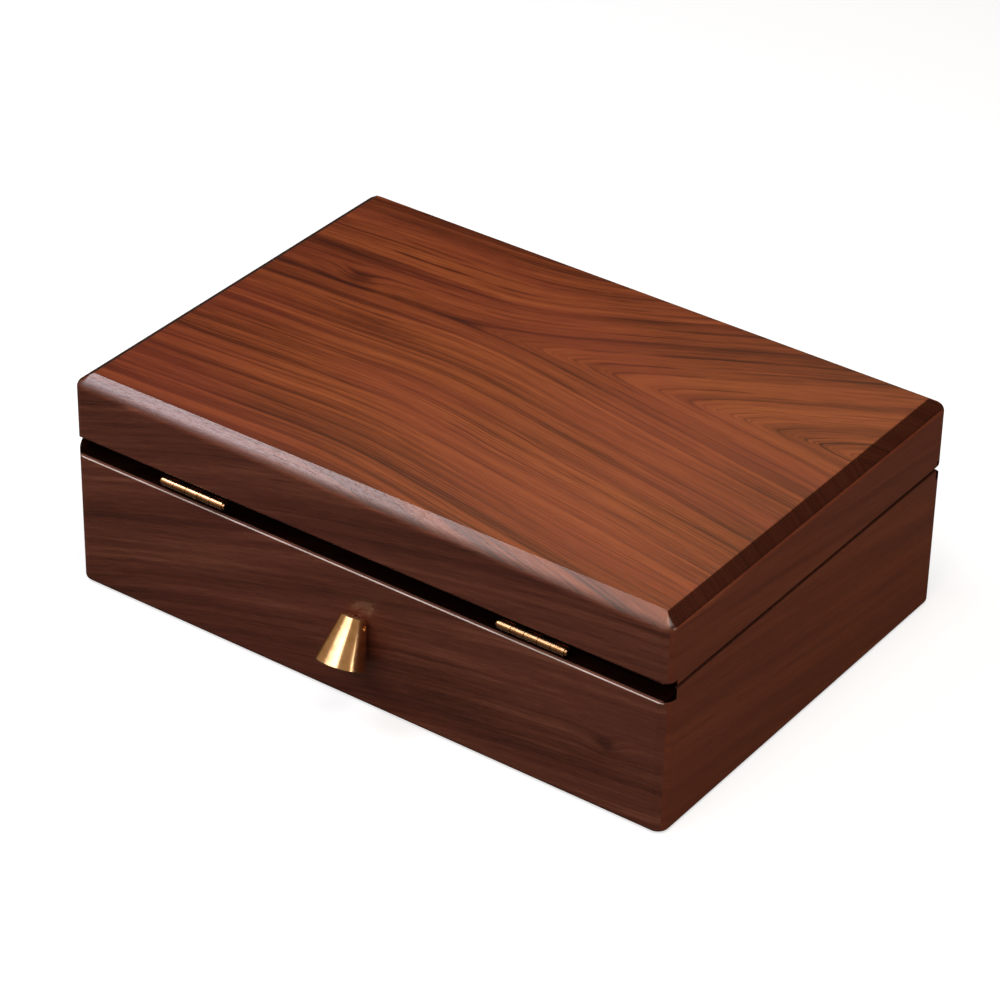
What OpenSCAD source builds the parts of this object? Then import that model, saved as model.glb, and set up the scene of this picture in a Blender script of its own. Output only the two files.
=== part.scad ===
// Wooden watch box: a mitred walnut base and lid on two brass butt hinges, with a drop pull on the hinge
// side and ten cushions in two rows inside. X runs along the hinge side, -Y is the hinge side, +Y the
// front, and Z is up. The origin is the middle of the underside. All sizes are in millimetres.

/* [Box] */
// Length along the hinge side
box_l = 280; // [260:1:320]
// Width from the hinge side to the front
box_w = 194; // [180:1:220]
// Height with the lid shut
box_h = 95; // [92:0.5:105]
// Height of the base walls
base_h = 64.3; // [62:0.1:66]
// Gap between the base and the shut lid
lid_gap = 0.3; // [0.2:0.05:0.4]
// Thickness of the base and lid walls
wall_t = 10; // [9:0.5:12]
// Radius of the upright corners
corner_r = 5; // [3:0.5:6]
// Radius of the round along the bottom edge
foot_round = 2; // [1:0.5:3]
// Radius of the round along the outer edges that meet at the seam
rim_round = 1.2; // [0.6:0.1:1.6]

/* [Groove along both long sides] */
// Depth of the groove into the wall
groove_d = 5.6; // [4.5:0.1:5.8]
// Height of the slope on the base
groove_base_h = 5.3; // [4:0.1:6]
// Height of the slope on the lid
groove_lid_h = 2.9; // [2:0.1:3.5]
// Width of the eased edge at the groove's mouth
arris = 0.7; // [0.4:0.1:1]

/* [Lid top] */
// Width of the bevel round the top, seen from above
bevel_w = 6.3; // [4:0.1:8]
// Height of the bevel
bevel_h = 4; // [3:0.1:5]
// Radius of the round between the bevel and the walls' outer faces
bevel_round = 3; // [1.5:0.1:3.5]
// Thickness of the part of the top board that sits between the lid walls
tongue_t = 4; // [3:0.5:5]
// Clearance round that part
tongue_fit = 0.1; // [0.05:0.05:0.2]

/* [Bottom] */
// Thickness of the felt under the box
felt_t = 1.2; // [1:0.1:2]
// Thickness of the bottom panel
panel_t = 5; // [4:0.5:6]
// How far the panel's edge runs into its groove in the walls
panel_in = 4; // [3:0.5:5]
// Clearance of the panel in its groove
panel_fit = 0.1; // [0.05:0.05:0.2]

/* [Lining and dividers] */
// Thickness of the suede-covered lining boards
lining_t = 1.5; // [1:0.1:2.5]
// Distance from the base's rim down to the top of the lining
lining_drop = 4; // [3:0.5:8]
// Thickness of the dividers
divider_t = 5; // [4:0.5:6]
// Distance from the base's rim down to the top of the dividers
divider_drop = 9; // [7:0.5:12]
// Clearance at the divider ends and in their cross halvings
divider_fit = 0.2; // [0.1:0.05:0.3]

/* [Cushions] */
// Clearance between a cushion and the dividers beside it
cushion_side = 0.8; // [0.6:0.1:1.5]
// Clearance between a cushion and the walls before and behind it
cushion_end = 4; // [3:0.5:6]
// Height of a cushion
cushion_h = 42; // [38:0.5:44]
// Rounding of a cushion seen from the side
cushion_round = 14; // [10:0.5:16]
// Rounding of a cushion's other edges
cushion_edge = 7; // [5:0.5:9]
// Clearance under a soft piece
soft_gap = 0.3; // [0.2:0.05:0.4]
// Thickness of the pad in the lid
lid_pad_t = 12; // [9:0.5:14]
// Clearance round the lid pad
lid_pad_fit = 0.5; // [0.4:0.1:1]

/* [Hinges] */
// Length of a hinge's barrel
hinge_l = 30; // [24:1:36]
// Distance of each hinge's middle from the box's middle
hinge_x = 80; // [60:1:95]
// Diameter of the knuckles
knuckle_d = 3.4; // [3:0.1:4]
// Number of knuckles, an odd number
knuckles = 5; // [3:2:7]
// Gap between neighbouring knuckles
knuckle_gap = 0.3; // [0.2:0.05:0.4]
// Diameter of the hinge pin
hinge_pin_d = 1.6; // [1.4:0.1:1.8]
// Radial clearance of the hinge pin
hinge_pin_fit = 0.05; // [0.03:0.01:0.08]
// How far inside the wall's outer face the hinge axis lies
hinge_in = 0.4; // [0.2:0.1:0.8]
// Thickness of a leaf
leaf_t = 1; // [0.8:0.1:1.2]
// Wood left between a leaf and the wall's inner face
leaf_inset = 0.6; // [0.5:0.1:1]
// Distance between the two screws of a leaf
screw_pitch = 18; // [14:1:20]
// Diameter of the screw heads
screw_head_d = 3.4; // [3:0.1:3.6]
// Diameter of the screw shanks
screw_d = 1.8; // [1.6:0.1:2]
// Length of the screws
screw_l = 7; // [6:0.5:8]

/* [Magnets] */
// Diameter of the magnets in the front walls
magnet_d = 3; // [2:0.5:3]
// Thickness of a magnet
magnet_t = 2.5; // [2:0.1:3]
// Distance of each magnet from the box's middle
magnet_x = 90; // [60:1:100]
// Clearance of a magnet in its hole
magnet_fit = 0.05; // [0.03:0.01:0.1]

/* [Drop pull] */
// Diameter of the narrow end
pull_narrow_d = 10.4; // [9:0.1:12]
// Diameter of the wide end
pull_wide_d = 20.4; // [19:0.1:22]
// Length of the cone
pull_l = 19.8; // [17:0.1:22]
// Lean of the hanging cone away from the wall, in degrees
pull_tilt = 28; // [24:1:32]
// How far the cone lifts from its rest, in degrees
pull_swing = 60; // [45:1:60]
// Height of the pull's pivot
pull_z = 38.3; // [35:0.1:40]
// Distance of the pivot from the wall's outer face
pull_standoff = 3.5; // [3.4:0.1:4]
// Gap between the resting cone and the wall
pull_rest_gap = 0.2; // [0.1:0.05:0.3]
// Diameter of the pull's pivot pin
pull_pin_d = 2; // [1.6:0.1:2]
// Radial clearance of the pivot pin
pull_pin_fit = 0.05; // [0.03:0.01:0.08]
// Diameter of the stud's eye
stud_eye_d = 4.6; // [4.4:0.1:5]
// Width of the stud's eye
stud_eye_w = 2.6; // [2.2:0.1:3.6]
// Diameter of the stud's shank
stud_d = 3; // [2.6:0.1:3]
// Clearance round the eye and shank inside the cone, and round the shank in the wall
stud_fit = 0.25; // [0.2:0.05:0.4]
// Width of the stud's nut across its flats
nut_w = 5.5; // [5:0.1:6]
// Thickness of the nut
nut_t = 2.4; // [2:0.1:2.6]
// Diameter of the washer under the nut
washer_d = 7; // [6.5:0.1:8]
// Thickness of the washer
washer_t = 0.6; // [0.5:0.1:1]
// Depth of the pocket for the nut in the wall's inner face
pocket_d = 4; // [3.8:0.1:4.5]

/* [Hidden] */

$fn = 64;
walnut = "#5b3426";
walnut_top = "#7b4630";
plywood = "#b08a5c";
suede = "#cdbb9d";
felt = "#33251f";
brass = "#c9a255";
steel = "#b9bcc0";

// Cutting shapes pass through the faces they open by this much
through = 1;
// A length that reaches past any part of the box
far = box_l + box_w;

lid_z = base_h + lid_gap;
lid_wall_top = box_h - bevel_h;
bevel_turn = 90 - atan(bevel_h / bevel_w);
bevel_tangent = bevel_round * tan(bevel_turn / 2);

room_l = box_l - 2 * wall_t;
room_w = box_w - 2 * wall_t;
lined_l = room_l - 2 * lining_t;
lined_w = room_w - 2 * lining_t;
floor_z = felt_t + panel_t + lining_t;
lining_top = base_h - lining_drop;
divider_top = base_h - divider_drop;

divider_h = divider_top - floor_z;
notch_t = divider_t + 2 * divider_fit;

rows = 2;
columns = 5;
cell_l = (lined_l - (columns - 1) * divider_t) / columns;
cell_w = (lined_w - (rows - 1) * divider_t) / rows;
cushion_l = cell_l - 2 * cushion_side;
cushion_w = cell_w - 2 * cushion_end;
cushion_z = floor_z + soft_gap;

lid_room_top = lid_wall_top - tongue_t;
lid_lining_z = lid_z + lining_drop;
lid_pad_z = lid_room_top - soft_gap - lid_pad_t;

// Both leaves of a hinge lie in the base's rim, the lid's leaf on top
leaf_z = base_h - leaf_t;
axis_z = leaf_z + lid_gap / 2;
axis_y = -box_w / 2 + hinge_in;
knuckle_pitch = hinge_l / knuckles;
leaf_start = hinge_in + knuckle_d / 2 + knuckle_gap;
leaf_reach = wall_t - leaf_inset;
mortise_fit = 0.1;
screw_fit = 0.05;
screw_in = (groove_d + leaf_reach) / 2;
pin_tip_d = knuckle_d - 0.8;
pin_tip_l = 0.8;
slot_w = 0.5;
slot_depth = 0.35;

pivot_y = -box_w / 2 - pull_standoff;
pull_reach = pull_standoff - pull_rest_gap;
pull_edge = 0.4;
stud_slot_w = stud_eye_w + 2 * stud_fit;
nut_inset = pocket_d - washer_t - nut_t;

// ---- Shared shapes -------------------------------------------------------------------------------

// A rectangle l by w with rounded corners, about the origin
module rounded_plan(l, w, r) {
    square([l - 2 * r, w], center = true);
    square([l, w - 2 * r], center = true);
    for (sx = [-1, 1], sy = [-1, 1])
        translate([sx * (l / 2 - r), sy * (w / 2 - r)])
            circle(r);
}

// A block l by w by h on the plane z = 0 with rounded upright corners
module rounded_block(l, w, h, r) {
    linear_extrude(h)
        rounded_plan(l, w, r);
}

// Sweeps a profile drawn in Y and Z along X, through the middle, over a length l
module along_x(l) {
    rotate([90, 0, 90])
        translate([0, 0, -l / 2])
            linear_extrude(l)
                children();
}

// Sweeps a profile drawn in X and Z along Y, through the middle, over a length l
module along_y(l) {
    rotate([90, 0, 0])
        translate([0, 0, -l / 2])
            linear_extrude(l)
                children();
}

// A cuboid with its middle at x, y and its underside at z
module board(x, y, z, size_x, size_y, size_z) {
    translate([x - size_x / 2, y - size_y / 2, z])
        cube([size_x, size_y, size_z]);
}

// Keeps the part of its children that lies in the mitred wall on the hinge side
module mitre_long() {
    intersection() {
        children();
        linear_extrude(box_h)
            polygon([[-box_l / 2 - through, -box_w / 2 - through],
                     [box_l / 2 + through, -box_w / 2 - through],
                     [box_l / 2 - wall_t, -box_w / 2 + wall_t],
                     [-box_l / 2 + wall_t, -box_w / 2 + wall_t]]);
    }
}

// Keeps the part of its children that lies in the mitred wall at the left end
module mitre_short() {
    intersection() {
        children();
        linear_extrude(box_h)
            polygon([[-box_l / 2 - through, -box_w / 2 - through],
                     [-box_l / 2 + wall_t, -box_w / 2 + wall_t],
                     [-box_l / 2 + wall_t, box_w / 2 - wall_t],
                     [-box_l / 2 - through, box_w / 2 + through]]);
    }
}

// Places its children, made for the hinge side, on both long sides
module both_long_sides() {
    children();
    mirror([0, 1, 0])
        children();
}

// Places its children at both hinges
module at_hinges() {
    for (side = [-1, 1])
        translate([side * hinge_x, 0, 0])
            children();
}

// Places its children at each screw of the hinge that stands at x = 0, on top of the base's leaf
module at_screws() {
    for (side = [-1, 1])
        translate([side * screw_pitch / 2, -box_w / 2 + screw_in, leaf_z])
            children();
}

// ---- Base ----------------------------------------------------------------------------------------

// Section of the base's outer form, width wide, with all four edges rounded
module base_section(width) {
    rim = base_h - rim_round;
    translate([-width / 2, foot_round])
        square([width, rim - foot_round]);
    translate([-width / 2 + foot_round, 0])
        square([width - 2 * foot_round, rim]);
    translate([-width / 2 + rim_round, foot_round])
        square([width - 2 * rim_round, base_h - foot_round]);
    for (side = [-1, 1]) {
        translate([side * (width / 2 - foot_round), foot_round])
            circle(foot_round);
        translate([side * (width / 2 - rim_round), rim])
            circle(rim_round);
    }
}

// One upright corner of the base, with the bottom round carried round it
module base_corner() {
    rotate_extrude()
        intersection() {
            base_section(2 * corner_r);
            square([corner_r, base_h]);
        }
}

// The base's outer form, solid
module base_form() {
    along_x(box_l - 2 * corner_r)
        base_section(box_w);
    along_y(box_w - 2 * corner_r)
        base_section(box_l);
    for (sx = [-1, 1], sy = [-1, 1])
        translate([sx * (box_l / 2 - corner_r), sy * (box_w / 2 - corner_r), 0])
            base_corner();
}

// Takes the groove's slope off the top of the base along the hinge side
module base_groove() {
    slope = groove_base_h / groove_d;
    face = -box_w / 2;
    along_x(far)
        polygon([[face - through, base_h - groove_base_h - arris],
                 [face, base_h - groove_base_h - arris],
                 [face + arris, base_h - groove_base_h + slope * arris],
                 [face + groove_d, base_h],
                 [face + groove_d, base_h + through],
                 [face - through, base_h + through]]);
}

// The base's frame before it is split into walls: its form, less the room inside, the panel's groove and
// the grooves along both long sides, which run out through the ends
module base_frame() {
    difference() {
        base_form();
        board(0, 0, -through, room_l, room_w, base_h + 2 * through);
        board(0, 0, felt_t, room_l + 2 * panel_in, room_w + 2 * panel_in, panel_t);
        both_long_sides()
            base_groove();
    }
}

// Holes for the screws of the base's leaves
module pilot_holes() {
    at_hinges()
        at_screws()
            translate([0, 0, -screw_l - through])
                cylinder(d = screw_d + 2 * screw_fit, h = screw_l + through);
}

// Recesses for the hinges in the base's rim, each as deep as two leaves
module mortises() {
    at_hinges()
        translate([-hinge_l / 2 - mortise_fit, -box_w / 2 - through, leaf_z - leaf_t])
            cube([hinge_l + 2 * mortise_fit, leaf_reach + mortise_fit + through, 2 * leaf_t + through]);
}

// Bore for the pull's stud, with the pocket for its washer and nut
module stud_bore() {
    translate([0, -box_w / 2 - through, pull_z])
        rotate([-90, 0, 0])
            cylinder(d = stud_d + 2 * stud_fit, h = wall_t + 2 * through);
    translate([0, -box_w / 2 + wall_t - pocket_d, pull_z])
        rotate([-90, 0, 0])
            cylinder(d = washer_d + 2 * stud_fit, h = pocket_d + through);
}

module base_back_wall() {
    color(walnut)
        difference() {
            mitre_long()
                base_frame();
            mortises();
            pilot_holes();
            stud_bore();
        }
}

// Places its children in the middle of the front wall's flat rim, where the magnets stand
module at_magnets() {
    for (side = [-1, 1])
        translate([side * magnet_x, box_w / 2 - (wall_t + groove_d) / 2, 0])
            children();
}

module base_front_wall() {
    color(walnut)
        difference() {
            mirror([0, 1, 0])
                mitre_long()
                    base_frame();
            at_magnets()
                translate([0, 0, base_h - magnet_t])
                    cylinder(d = magnet_d + 2 * magnet_fit, h = magnet_t + through);
        }
}

module base_left_wall() {
    color(walnut)
        mitre_short()
            base_frame();
}

module base_right_wall() {
    color(walnut)
        mirror([1, 0, 0])
            mitre_short()
                base_frame();
}

module bottom_panel() {
    edge = panel_in - panel_fit;
    color(plywood)
        board(0, 0, felt_t, room_l + 2 * edge, room_w + 2 * edge, panel_t);
}

module base_felt() {
    color(felt)
        board(0, 0, 0, room_l, room_w, felt_t);
}

// ---- Lining and dividers -------------------------------------------------------------------------

module floor_lining() {
    color(suede)
        board(0, 0, felt_t + panel_t, room_l, room_w, lining_t);
}

// A lining board along a long wall, on the side given by the sign
module long_lining(side, z, top) {
    color(suede)
        board(0, side * (room_w - lining_t) / 2, z, room_l, lining_t, top - z);
}

// A lining board along an end wall, between the long ones, on the side given by the sign
module short_lining(side, z, top) {
    color(suede)
        board(side * (room_l - lining_t) / 2, 0, z, lining_t, lined_w, top - z);
}

module base_back_lining() { long_lining(-1, floor_z, lining_top); }
module base_front_lining() { long_lining(1, floor_z, lining_top); }
module base_left_lining() { short_lining(-1, floor_z, lining_top); }
module base_right_lining() { short_lining(1, floor_z, lining_top); }

// Middle of the cross divider that closes column i, counted from the left
function cross_x(i) = -lined_l / 2 + i * (cell_l + divider_t) - divider_t / 2;

// The divider between the two rows, notched from above for each cross divider
module long_divider() {
    color(suede)
        difference() {
            board(0, 0, floor_z, lined_l - 2 * divider_fit, divider_t, divider_h);
            for (i = [1 : columns - 1])
                board(cross_x(i), 0, floor_z + divider_h / 2, notch_t, 2 * divider_t, divider_h);
        }
}

// A divider between two columns, notched from below over the long divider
module cross_divider(i) {
    if (i < columns)
        color(suede)
            difference() {
                board(cross_x(i), 0, floor_z, divider_t, lined_w - 2 * divider_fit, divider_h);
                board(cross_x(i), 0, floor_z - divider_h / 2, 2 * divider_t, notch_t, divider_h);
            }
}

// ---- Cushions ------------------------------------------------------------------------------------

// A soft cushion on the origin: rounded most where a strap wraps it, in the plane of Y and Z
module cushion() {
    translate([0, 0, cushion_h / 2])
        intersection() {
            along_x(cushion_l)
                rounded_plan(cushion_w, cushion_h, cushion_round);
            along_y(cushion_w)
                rounded_plan(cushion_l, cushion_h, cushion_edge);
            translate([0, 0, -cushion_h / 2])
                rounded_block(cushion_l, cushion_w, cushion_h, cushion_edge);
        }
}

// Cushion i, counted from the left along the hinge side, then from the left along the front
module watch_cushion(i) {
    column = (i - 1) % columns;
    row = floor((i - 1) / columns);
    color(suede)
        if (i <= rows * columns)
            translate([-(lined_l - cell_l) / 2 + column * (cell_l + divider_t),
                       (row - 0.5) * (cell_w + divider_t), cushion_z])
                cushion();
}

// ---- Lid -----------------------------------------------------------------------------------------

// Section of the lid's outer form, width wide: bevelled above, with rounded edges at the seam and a round
// between each face and its bevel
module lid_section(width) {
    round_z = lid_wall_top - bevel_tangent;
    in = bevel_tangent * sin(bevel_turn);
    up = bevel_tangent * cos(bevel_turn);
    polygon([[-width / 2, lid_z + rim_round], [width / 2, lid_z + rim_round],
             [width / 2, round_z], [width / 2 - in, lid_wall_top + up],
             [width / 2 - bevel_w, box_h], [-width / 2 + bevel_w, box_h],
             [-width / 2 + in, lid_wall_top + up], [-width / 2, round_z]]);
    translate([-width / 2 + rim_round, lid_z])
        square([width - 2 * rim_round, lid_wall_top - lid_z]);
    for (side = [-1, 1]) {
        translate([side * (width / 2 - rim_round), lid_z + rim_round])
            circle(rim_round);
        translate([side * (width / 2 - bevel_round), round_z])
            circle(bevel_round);
    }
}

// One upright corner of the lid, with the bevel and the rounds carried round it
module lid_corner() {
    rotate_extrude()
        intersection() {
            translate([corner_r - box_w / 2, 0])
                lid_section(box_w);
            square([corner_r, box_h]);
        }
}

// The lid's outer form, solid
module lid_form() {
    intersection() {
        along_x(box_l - 2 * corner_r)
            lid_section(box_w);
        along_y(far)
            lid_section(box_l);
    }
    intersection() {
        along_x(far)
            lid_section(box_w);
        along_y(box_w - 2 * corner_r)
            lid_section(box_l);
    }
    for (sx = [-1, 1], sy = [-1, 1])
        translate([sx * (box_l / 2 - corner_r), sy * (box_w / 2 - corner_r), 0])
            lid_corner();
}

module lid_top_board() {
    color(walnut_top) {
        intersection() {
            lid_form();
            board(0, 0, lid_wall_top, far, far, bevel_h + through);
        }
        board(0, 0, lid_room_top, room_l - 2 * tongue_fit, room_w - 2 * tongue_fit, tongue_t);
    }
}

// Takes the groove's slope off the underside of the lid along the hinge side
module lid_groove() {
    slope = groove_lid_h / groove_d;
    face = -box_w / 2;
    along_x(far)
        polygon([[face - through, lid_z + groove_lid_h + arris],
                 [face, lid_z + groove_lid_h + arris],
                 [face + arris, lid_z + groove_lid_h - slope * arris],
                 [face + groove_d, lid_z],
                 [face + groove_d, lid_z - through],
                 [face - through, lid_z - through]]);
}

// The lid's frame before it is split into walls, with the grooves along both long sides
module lid_frame() {
    difference() {
        lid_form();
        board(0, 0, lid_wall_top, far, far, bevel_h + through);
        board(0, 0, lid_z - through, room_l, room_w, box_h);
        both_long_sides()
            lid_groove();
    }
}

module lid_back_wall() {
    color(walnut)
        difference() {
            mitre_long()
                lid_frame();
            over_axis()
                pilot_holes();
        }
}

module lid_front_wall() {
    color(walnut)
        difference() {
            mirror([0, 1, 0])
                mitre_long()
                    lid_frame();
            at_magnets()
                translate([0, 0, lid_z - through])
                    cylinder(d = magnet_d + 2 * magnet_fit, h = magnet_t + through);
        }
}

module lid_left_wall() {
    color(walnut)
        mitre_short()
            lid_frame();
}

module lid_right_wall() {
    color(walnut)
        mirror([1, 0, 0])
            mitre_short()
                lid_frame();
}

module lid_back_lining() { long_lining(-1, lid_lining_z, lid_room_top); }
module lid_front_lining() { long_lining(1, lid_lining_z, lid_room_top); }
module lid_left_lining() { short_lining(-1, lid_lining_z, lid_room_top); }
module lid_right_lining() { short_lining(1, lid_lining_z, lid_room_top); }

module lid_pad() {
    pad_l = lined_l - 2 * lid_pad_fit;
    pad_w = lined_w - 2 * lid_pad_fit;
    edge = lid_pad_t / 3;
    color(suede)
        intersection() {
            translate([0, 0, lid_pad_z])
                rounded_block(pad_l, pad_w, lid_pad_t, edge);
            translate([0, 0, lid_pad_z + lid_pad_t / 2]) {
                along_x(pad_l)
                    rounded_plan(pad_w, lid_pad_t, edge);
            }
            translate([0, 0, lid_pad_z + lid_pad_t / 2]) {
                along_y(pad_w)
                    rounded_plan(pad_l, lid_pad_t, edge);
            }
        }
}

// ---- Hinges --------------------------------------------------------------------------------------

// Places its children with X along the hinge axis of the hinge on the side given by the sign
module on_axis(side) {
    translate([side * hinge_x, axis_y, axis_z])
        rotate([0, 90, 0])
            children();
}

// The base's leaf of a hinge, with the knuckles whose numbers have the parity given
module leaf(side, parity) {
    own = [for (k = [0 : knuckles - 1]) if (k % 2 == parity) k];
    gap = knuckle_gap / 2;
    difference() {
        union() {
            translate([side * hinge_x - hinge_l / 2, -box_w / 2 + leaf_start, leaf_z - leaf_t])
                cube([hinge_l, leaf_reach - leaf_start, leaf_t]);
            for (k = own) {
                translate([side * hinge_x - hinge_l / 2 + k * knuckle_pitch + gap, axis_y, leaf_z - leaf_t])
                    cube([knuckle_pitch - knuckle_gap, leaf_start - hinge_in + through, leaf_t]);
                on_axis(side)
                    translate([0, 0, -hinge_l / 2 + k * knuckle_pitch + gap])
                        cylinder(d = knuckle_d, h = knuckle_pitch - knuckle_gap);
            }
        }
        on_axis(side)
            cylinder(d = hinge_pin_d + 2 * hinge_pin_fit, h = hinge_l + 2 * through, center = true);
        translate([side * hinge_x, 0, 0])
            at_screws()
                countersink();
    }
}

// The tapered hole for a screw head in a leaf, downwards from z = 0
module countersink() {
    translate([0, 0, -leaf_t])
        cylinder(d1 = screw_d, d2 = screw_head_d, h = leaf_t);
    translate([0, 0, -leaf_t - through])
        cylinder(d = screw_d, h = leaf_t + 2 * through);
}

// Turns a hinge piece of the base over the hinge axis into the matching piece of the lid
module over_axis() {
    translate([0, 0, 2 * axis_z])
        mirror([0, 0, 1])
            children();
}

// A hinge pin with a small rounded head past each end knuckle
module hinge_pin(side) {
    color(brass)
        on_axis(side) {
            cylinder(d = hinge_pin_d, h = hinge_l + pin_tip_l, center = true);
            for (end = [-1, 1])
                translate([0, 0, end * hinge_l / 2])
                    intersection() {
                        sphere(d = pin_tip_d);
                        translate([0, 0, end * pin_tip_l / 2])
                            cylinder(d = pin_tip_d, h = pin_tip_l, center = true);
                    }
        }
}

module left_hinge_base_leaf() { color(brass) leaf(-1, 0); }
module left_hinge_lid_leaf() { color(brass) over_axis() leaf(-1, 1); }
module left_hinge_pin() { hinge_pin(-1); }
module right_hinge_base_leaf() { color(brass) leaf(1, 0); }
module right_hinge_lid_leaf() { color(brass) over_axis() leaf(1, 1); }
module right_hinge_pin() { hinge_pin(1); }

// A slotted countersunk screw, downwards from z = 0
module screw() {
    difference() {
        union() {
            translate([0, 0, -leaf_t])
                cylinder(d1 = screw_d, d2 = screw_head_d, h = leaf_t);
            translate([0, 0, -screw_l])
                cylinder(d = screw_d, h = screw_l - leaf_t);
        }
        board(0, 0, -slot_depth, screw_head_d, slot_w, slot_depth + through);
    }
}

module base_hinge_screws() {
    color(brass)
        at_hinges()
            at_screws()
                screw();
}

module lid_hinge_screws() {
    over_axis()
        base_hinge_screws();
}

// The magnets of one frame, with their undersides at z
module magnets(z) {
    color(steel)
        at_magnets()
            translate([0, 0, z])
                cylinder(d = magnet_d, h = magnet_t);
}

module base_magnets() { magnets(base_h - magnet_t); }
module lid_magnets() { magnets(lid_z); }

// ---- Drop pull -----------------------------------------------------------------------------------

// Places its children at the pull's pivot as it hangs at rest, with the cone's axis along Z
module at_pull() {
    translate([0, pivot_y, pull_z])
        rotate([-pull_tilt, 0, 0])
            children();
}

// Plain turned cone about its axis, its narrow end pull_reach above the pivot
module turned_cone() {
    low = pull_reach - pull_l;
    taper = (pull_wide_d - pull_narrow_d) / 2 / pull_l;
    rotate_extrude()
        polygon([[0, low],
                 [pull_wide_d / 2 - pull_edge, low],
                 [pull_wide_d / 2 - taper * pull_edge, low + pull_edge],
                 [pull_narrow_d / 2 + taper * pull_edge, pull_reach - pull_edge],
                 [pull_narrow_d / 2 - pull_edge, pull_reach],
                 [0, pull_reach]]);
}

// A point of a side view turned about the pivot
function turned(angle, p) = [p[0] * cos(angle) - p[1] * sin(angle), p[0] * sin(angle) + p[1] * cos(angle)];

// Side view of all that clears the wall as the cone swings: a flat that rests on the wall, a round about
// the pivot, and the narrow end that meets the wall when the cone is raised
module swing_outline() {
    steps = 8;
    round_back = [for (i = [0 : steps]) turned(90 - i * (90 - pull_tilt) / steps, [pull_reach, 0])];
    polygon(concat(round_back,
                   [turned(pull_tilt, [pull_reach, -2 * pull_l]),
                    [-2 * pull_l, -2 * pull_l],
                    [-2 * pull_l, pull_reach]]));
}

// Side view of the space that the stud's eye fills and its shank sweeps inside the cone
module shank_sweep() {
    half = stud_d / 2 + stud_fit;
    last = pull_tilt + pull_swing;
    circle(stud_eye_d / 2 + stud_fit);
    polygon([turned(pull_tilt, [0, -half]), turned(pull_tilt, [pull_wide_d, -half]),
             [pull_wide_d, pull_wide_d], turned(last, [pull_wide_d, half]), turned(last, [0, half])]);
}

module pull_cone() {
    color(brass)
        at_pull()
            difference() {
                intersection() {
                    turned_cone();
                    along_x(pull_wide_d)
                        swing_outline();
                }
                along_x(stud_slot_w)
                    shank_sweep();
                rotate([0, 90, 0])
                    cylinder(d = pull_pin_d + 2 * pull_pin_fit, h = pull_wide_d, center = true);
            }
}

module pull_pin() {
    color(brass)
        at_pull()
            rotate([0, 90, 0])
                cylinder(d = pull_pin_d, h = pull_narrow_d, center = true);
}

// The stud: an eye for the pin, and a shank through the wall to the nut
module pull_stud() {
    color(brass)
        translate([0, pivot_y, pull_z])
            difference() {
                union() {
                    rotate([0, 90, 0])
                        cylinder(d = stud_eye_d, h = stud_eye_w, center = true);
                    rotate([-90, 0, 0])
                        cylinder(d = stud_d, h = pull_standoff + wall_t - nut_inset);
                }
                rotate([0, 90, 0])
                    cylinder(d = pull_pin_d + 2 * pull_pin_fit, h = 2 * stud_eye_w, center = true);
            }
}

// A ring on the stud, its outer side towards the hinge side at the depth given from the wall's face
module stud_ring(depth) {
    translate([0, -box_w / 2 + depth, pull_z])
        rotate([-90, 0, 0])
            children();
}

module pull_washer() {
    color(brass)
        stud_ring(wall_t - pocket_d)
            difference() {
                cylinder(d = washer_d, h = washer_t);
                translate([0, 0, -through])
                    cylinder(d = stud_d + 2 * pull_pin_fit, h = washer_t + 2 * through);
            }
}

module pull_nut() {
    color(steel)
        stud_ring(wall_t - pocket_d + washer_t)
            difference() {
                cylinder(d = nut_w / cos(30), h = nut_t, $fn = 6);
                translate([0, 0, -through])
                    cylinder(d = stud_d + 2 * pull_pin_fit, h = nut_t + 2 * through);
            }
}

base_back_wall();
base_front_wall();
base_left_wall();
base_right_wall();
bottom_panel();
base_felt();
floor_lining();
base_back_lining();
base_front_lining();
base_left_lining();
base_right_lining();
long_divider();
cross_divider(1);  // cross_divider_1
cross_divider(2);  // cross_divider_2
cross_divider(3);  // cross_divider_3
cross_divider(4);  // cross_divider_4
watch_cushion(1);  // watch_cushion_1
watch_cushion(2);  // watch_cushion_2
watch_cushion(3);  // watch_cushion_3
watch_cushion(4);  // watch_cushion_4
watch_cushion(5);  // watch_cushion_5
watch_cushion(6);  // watch_cushion_6
watch_cushion(7);  // watch_cushion_7
watch_cushion(8);  // watch_cushion_8
watch_cushion(9);  // watch_cushion_9
watch_cushion(10);  // watch_cushion_10
lid_top_board();
lid_back_wall();
lid_front_wall();
lid_left_wall();
lid_right_wall();
lid_back_lining();
lid_front_lining();
lid_left_lining();
lid_right_lining();
lid_pad();
left_hinge_base_leaf();
left_hinge_lid_leaf();
left_hinge_pin();
right_hinge_base_leaf();
right_hinge_lid_leaf();
right_hinge_pin();
base_hinge_screws();
lid_hinge_screws();
base_magnets();
lid_magnets();
pull_cone();
pull_pin();
pull_stud();
pull_washer();
pull_nut();
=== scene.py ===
"""A walnut watch box with a hinged lid, a brass drop pull and ten cushions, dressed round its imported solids.

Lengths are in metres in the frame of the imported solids: X runs along the hinge side, which faces -Y, and Z is
up. Patterns are worked out in millimetres, so that their numbers read as sizes in the wood and the cloth.
"""

import logging
import math
from dataclasses import dataclass
from enum import Enum
from typing import Any, Callable, Optional, Sequence, Union

import bmesh
import bpy
from mathutils import Matrix, Vector


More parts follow.
